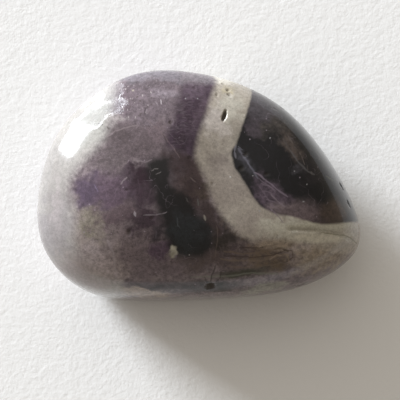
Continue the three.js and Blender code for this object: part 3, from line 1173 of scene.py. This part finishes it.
    def _roughness(self, pitted: Socket) -> Socket:
        """The polish: duller on the cream, and dull in the pits and on the worn patches.

        Args:
            pitted: How deep in a pit each spot lies.

        Returns:
            The roughness.
        """
        wiring, finish = self.wiring, self.finish
        base = wiring.plus(finish.polish, wiring.times(self.cream, finish.cream_roughness - finish.polish))
        dull = wiring.math("MAXIMUM", self._worn(), pitted)
        return wiring.plus(base, wiring.times(dull, wiring.less(finish.worn_roughness, base)))

    def _relief(self) -> Socket:
        """The fine waviness that the drum polish leaves.

        Returns:
            Its height.
        """
        wiring, finish = self.wiring, self.finish
        flecked = wiring.times(self._crown_mask(finish.fleck_patch), finish.fleck_relief)
        gloss = wiring.plus(finish.polish_relief, flecked)
        amount = wiring.plus(gloss, wiring.times(self._worn(), finish.worn_relief))
        rub = wiring.times(wiring.less(self.fine, 0.5), amount)
        return wiring.plus(wiring.times(self.lumps, finish.lump_relief), rub)


# ---- The stone ----


def store(mesh: bpy.types.Mesh, name: str, values: np.ndarray) -> None:
    """Stores one number a corner on a mesh, under the name that the shader reads."""
    mesh.attributes.new(name, "FLOAT", "POINT").data.foreach_set("value", values.astype(np.float32))


def place_object(name: str, data: bpy.types.ID) -> bpy.types.Object:
    """Puts an object in the scene.

    Args:
        name: The object's name.
        data: Its mesh, lamp or camera.

    Returns:
        The object.
    """
    made = bpy.data.objects.new(name, data)
    bpy.context.scene.collection.objects.link(made)
    return made


PIT_REACH = 2.0  # how far in mm through the stone a pit is felt
PIT_TILT = 0.05  # keeps a pit's length off the vertical
FLAKE_SLANT = 0.4  # how much a flake's floor slants
FAR_AWAY = 1e3  # a gap in mm that no corner of the crown has
CROWN_FACING = 0.2  # how far up a corner has to face to lie on the crown


@dataclass
class Skin:
    """The stone's corners and their outward normals, one a row, in mm."""

    points: np.ndarray
    normals: np.ndarray

    def crown_corner(self, x: float, y: float) -> int:
        """The number of the upward corner that is seen from above at x and y, in mm."""
        gap = np.hypot(self.points[:, 0] - x, self.points[:, 1] - y)
        return int(np.argmin(gap + np.where(self.normals[:, 2] > 0.0, 0.0, FAR_AWAY)))

    def hollow(self, middle: int, pit: Pit) -> np.ndarray:
        """How deep one pit presses each corner in.

        Args:
            middle: The number of the corner in its middle.
            pit: The pit.

        Returns:
            One depth a corner, in mm.
        """
        normal = self.normals[middle]
        along = np.array([math.cos(math.radians(pit.turn)), math.sin(math.radians(pit.turn)), PIT_TILT])
        along -= normal * (along @ normal)
        along /= np.linalg.norm(along)
        across = np.cross(normal, along)
        offset = self.points - self.points[middle]
        u, v, w = offset @ along / (pit.length / 2), offset @ across / (pit.width / 2), offset @ normal
        share = np.maximum(0.0, 1.0 - u * u - v * v)
        profile = {
            PitForm.BOWL: share,
            PitForm.SLOT: np.sqrt(share),
            PitForm.FLAKE: np.sqrt(share) * (1.0 - FLAKE_SLANT + FLAKE_SLANT * np.clip(u + v, -1.0, 1.0)),
        }[pit.form]
        return np.where(np.abs(w) < PIT_REACH, pit.depth * profile, 0.0)

    def groove(self, crack: HealedCrack) -> np.ndarray:
        """How deep a healed crack presses each corner in, in mm.

        Args:
            crack: The crack.

        Returns:
            One depth a corner.
        """
        away = distance_to_path(self.points[:, :2], smooth_path(crack.path)) / (crack.width / 2)
        share = np.maximum(0.0, 1.0 - away**2)
        return np.where(self.normals[:, 2] > CROWN_FACING, crack.depth * share, 0.0)


@dataclass
class PolishedStone:
    """The whole pebble: its dense mesh, its pits and its finish."""

    parts: int = 127
    form: TumbledForm = field(default_factory=TumbledForm)
    finish: ChevronAmethyst = field(default_factory=ChevronAmethyst)
    pits: tuple[Pit, ...] = (
        Pit(2.27, 5.70, 1.15, 0.40, 0.40, 74.0, PitForm.SLOT),
        Pit(0.95, -9.75, 1.1, 0.8, 0.45, 60.0, PitForm.FLAKE),
        Pit(-2.4, -7.0, 0.9, 0.6, 0.15, 70.0),
        Pit(13.1, -0.4, 0.8, 0.4, 0.25, 118.0),
        Pit(13.7, -1.95, 0.7, 0.4, 0.22, 118.0),
        Pit(9.17, -9.42, 0.9, 0.4, 0.12, 20.0, PitForm.FLAKE),
        Pit(2.16, 8.87, 0.4, 0.35, 0.10, 20.0),
        Pit(2.61, 8.21, 0.5, 0.36, 0.12, 40.0),
        Pit(1.59, 7.64, 0.4, 0.35, 0.08, 100.0),
        Pit(2.70, 7.73, 0.6, 0.36, 0.10, -35.0),
    )
    crack: HealedCrack = HealedCrack(
        ((8.2, -4.75), (10.0, -4.75), (11.9, -4.85), (12.8, -5.1), (14.0, -5.35)), 0.36, 0.12
    )
    dirt_depth: float = 0.25
    small_pits: int = 46
    small_length: Pair = (0.35, 0.75)
    small_shape: Pair = (0.55, 0.9)
    small_depth: Pair = (0.03, 0.08)
    small_turn: Pair = (0.0, 180.0)
    seed: int = 7

    def build(self, effects: Effects) -> bpy.types.Object:
        """Makes the stone in place of its plain node.

        Args:
            effects: The shared node groups.

        Returns:
            The finished object.
        """
        directions, quads = cube_sphere(self.parts)
        points = self._settle(self.form.points(directions))
        skin = Skin(points, corner_normals(points, quads))
        sunk = np.zeros(len(points))
        for pit in self.pits:
            sunk = np.maximum(sunk, skin.hollow(skin.crown_corner(pit.x, pit.y), pit))
        sunk = np.maximum(sunk, self._scattered(skin))
        groove = skin.groove(self.crack)
        points = points - skin.normals * (sunk + groove)[:, None]
        mesh = bpy.data.meshes.new("amethyst pebble")
        mesh.from_pydata((points * MM).tolist(), [], quads.tolist())
        mesh.shade_smooth()
        self.finish.draw_zones(mesh, points)
        store(mesh, Quality.PITTED.value, np.clip(sunk / self.dirt_depth, 0.0, 1.0))
        store(mesh, Quality.CRACKED.value, groove / self.crack.depth)
        mesh.materials.append(self.finish.material(effects))
        stone = place_object("amethyst_pebble", mesh)
        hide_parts(STONE_NODE)
        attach(stone, STONE_BODY)
        return stone

    def _settle(self, points: np.ndarray) -> np.ndarray:
        """Brings the form to the length and the place of the plain stone.

        Args:
            points: The form's points around its heart, in mm.

        Returns:
            The same points in the frame of the part, in mm.
        """
        low, high = (np.array(corner) * MM_PER_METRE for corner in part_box(STONE_NODE))
        least, most = points.min(axis=0), points.max(axis=0)
        scale = (high[0] - low[0]) / (most[0] - least[0])
        middle = (least + most) / 2.0
        base = np.array([middle[0], middle[1], least[2]])
        centre = (low + high) / 2.0
        return (points - base) * scale + np.array([centre[0], centre[1], low[2]])

    def _scattered(self, skin: Skin) -> np.ndarray:
        """How deep the small pits that lie all over the stone press each corner in.

        Args:
            skin: The stone's corners and normals.

        Returns:
            One depth a corner, in mm.
        """
        chance = np.random.default_rng(self.seed)
        sunk = np.zeros(len(skin.points))
        for middle in chance.integers(0, len(skin.points), self.small_pits):
            length = chance.uniform(*self.small_length)
            width, depth = length * chance.uniform(*self.small_shape), chance.uniform(*self.small_depth)
            pit = Pit(0.0, 0.0, length, width, depth, chance.uniform(*self.small_turn))
            sunk = np.maximum(sunk, skin.hollow(int(middle), pit))
        return sunk


# ---- The studio ----


def look(thing: bpy.types.Object, place: Vector, aim: Vector) -> None:
    """Stands a lamp or a camera at a place, turned to what it aims at."""
    thing.location = place
    thing.rotation_euler = (aim - place).to_track_quat("-Z", "Y").to_euler()


@dataclass(frozen=True)
class PaperTable:
    """A sheet of plain white paper on a table."""

    half_width: float = 2.0
    colour: Triple = (0.89, 0.89, 0.89)
    roughness: float = 0.9
    sheen: float = 0.1
    grain: Grain = Grain(1.1, 2.6, 0.5)
    grain_strength: float = 0.48
    grain_depth: float = 0.1

    def build(self, effects: Effects) -> bpy.types.Object:
        """Makes the floor.

        Args:
            effects: The shared node groups.

        Returns:
            The floor.
        """
        w = self.half_width
        mesh = bpy.data.meshes.new("paper")
        mesh.from_pydata([(-w, -w, 0), (w, -w, 0), (w, w, 0), (-w, w, 0)], [], [(0, 1, 2, 3)])
        paper = bpy.data.materials.new("white paper")
        paper.use_nodes = True
        wiring = Wiring(paper.node_tree)
        shader = paper.node_tree.nodes["Principled BSDF"]
        place = wiring.scale(wiring.node("ShaderNodeTexCoord").outputs["Object"], MM_PER_METRE)
        height = self.grain.draw(wiring, effects, place)
        wiring.bump(shader, height, self.grain_strength, self.grain_depth)
        shader.inputs["Base Color"].default_value = (*self.colour, 1.0)
        shader.inputs["Roughness"].default_value = self.roughness
        shader.inputs["Specular IOR Level"].default_value = self.sheen
        mesh.materials.append(paper)
        floor = place_object("paper_table", mesh)
        return floor


@dataclass(frozen=True)
class SoftWindow:
    """A cool window low to one side, and the warm room around it. Angles in degrees, distance in metres."""

    bearing: float = 138.4
    rise: float = 11.3
    distance: float = 1.5
    spread: float = 21.0
    tallness: float = 20.6
    radiance: float = 65.0
    tint: Triple = (0.95, 1.0, 1.06)
    overhead: Triple = (0.19, 0.168, 0.14)
    horizon: Triple = (0.49, 0.445, 0.378)
    bright_wall: Triple = (0.55, 0.53, 0.50)
    wall_rise: float = 35.0
    wall_focus: float = 2.0

    def build(self) -> None:
        """Adds the window's light and the room's glow."""
        lamp = bpy.data.lights.new("soft window", "AREA")
        lamp.shape = "RECTANGLE"
        halves = (math.radians(angle / 2.0) for angle in (self.spread, self.tallness))
        lamp.size, lamp.size_y = (2.0 * self.distance * math.tan(half) for half in halves)
        lamp.energy = self.radiance * lamp.size * lamp.size_y * math.pi
        lamp.color = self.tint
        window = place_object("soft window", lamp)
        look(window, Vector(towards(self.bearing, self.rise)) * self.distance, Vector())
        window.visible_camera = False
        world = bpy.data.worlds.new("pale room")
        bpy.context.scene.world = world
        world.use_nodes = True
        wiring = Wiring(world.node_tree)
        direction = wiring.node("ShaderNodeTexCoord").outputs["Generated"]
        up = wiring.math("MAXIMUM", wiring.split(direction)[2], 0.0)
        room = wiring.mix(up, self.horizon, self.overhead)
        wall = tuple(float(value) for value in towards(self.bearing, self.wall_rise))
        facing = wiring.math("MAXIMUM", wiring.vector("DOT_PRODUCT", direction, wall), 0.0)
        lit = wiring.mix(wiring.math("POWER", facing, self.wall_focus), BLACK, self.bright_wall)
        glow = world.node_tree.nodes["Background"]
        wiring.feed(glow.inputs["Color"], wiring.mix(1.0, room, lit, "ADD"))
        glow.inputs["Strength"].default_value = 1.0


@dataclass(frozen=True)
class CameraStand:
    """A camera that looks almost straight down. Angles in degrees, places in mm."""

    bearing: float = -90.0
    rise: float = 82.0
    distance: float = 190.0
    nearest: float = 1.0
    aim: Triple = (0.04, -1.435, 6.2)
    sensor: float = 36.0
    frame_width: float = 37.19

    def build(self) -> None:
        """Makes the camera and sets it as the scene's own."""
        data = bpy.data.cameras.new("overhead")
        data.sensor_width = self.sensor
        data.lens = self.sensor * self.distance / self.frame_width
        data.clip_start = self.nearest * MM
        camera = place_object("overhead", data)
        aim = Vector(self.aim) * MM
        look(camera, aim + Vector(towards(self.bearing, self.rise)) * self.distance * MM, aim)
        bpy.context.scene.camera = camera


def main() -> None:
    """Builds the camera, the stone and the studio in order."""
    logging.basicConfig(level=logging.INFO, format="%(name)s: %(message)s")
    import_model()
    bpy.context.scene.view_settings.view_transform = "Standard"
    CameraStand().build()
    effects = Effects.build()
    stone = PolishedStone().build(effects)
    LOG.info("%s: %d corners", stone.name, len(stone.data.vertices))
    floor = PaperTable().build(effects)
    LOG.info("%s: plain pale floor", floor.name)
    SoftWindow().build()


if __name__ == "__main__":
    main()
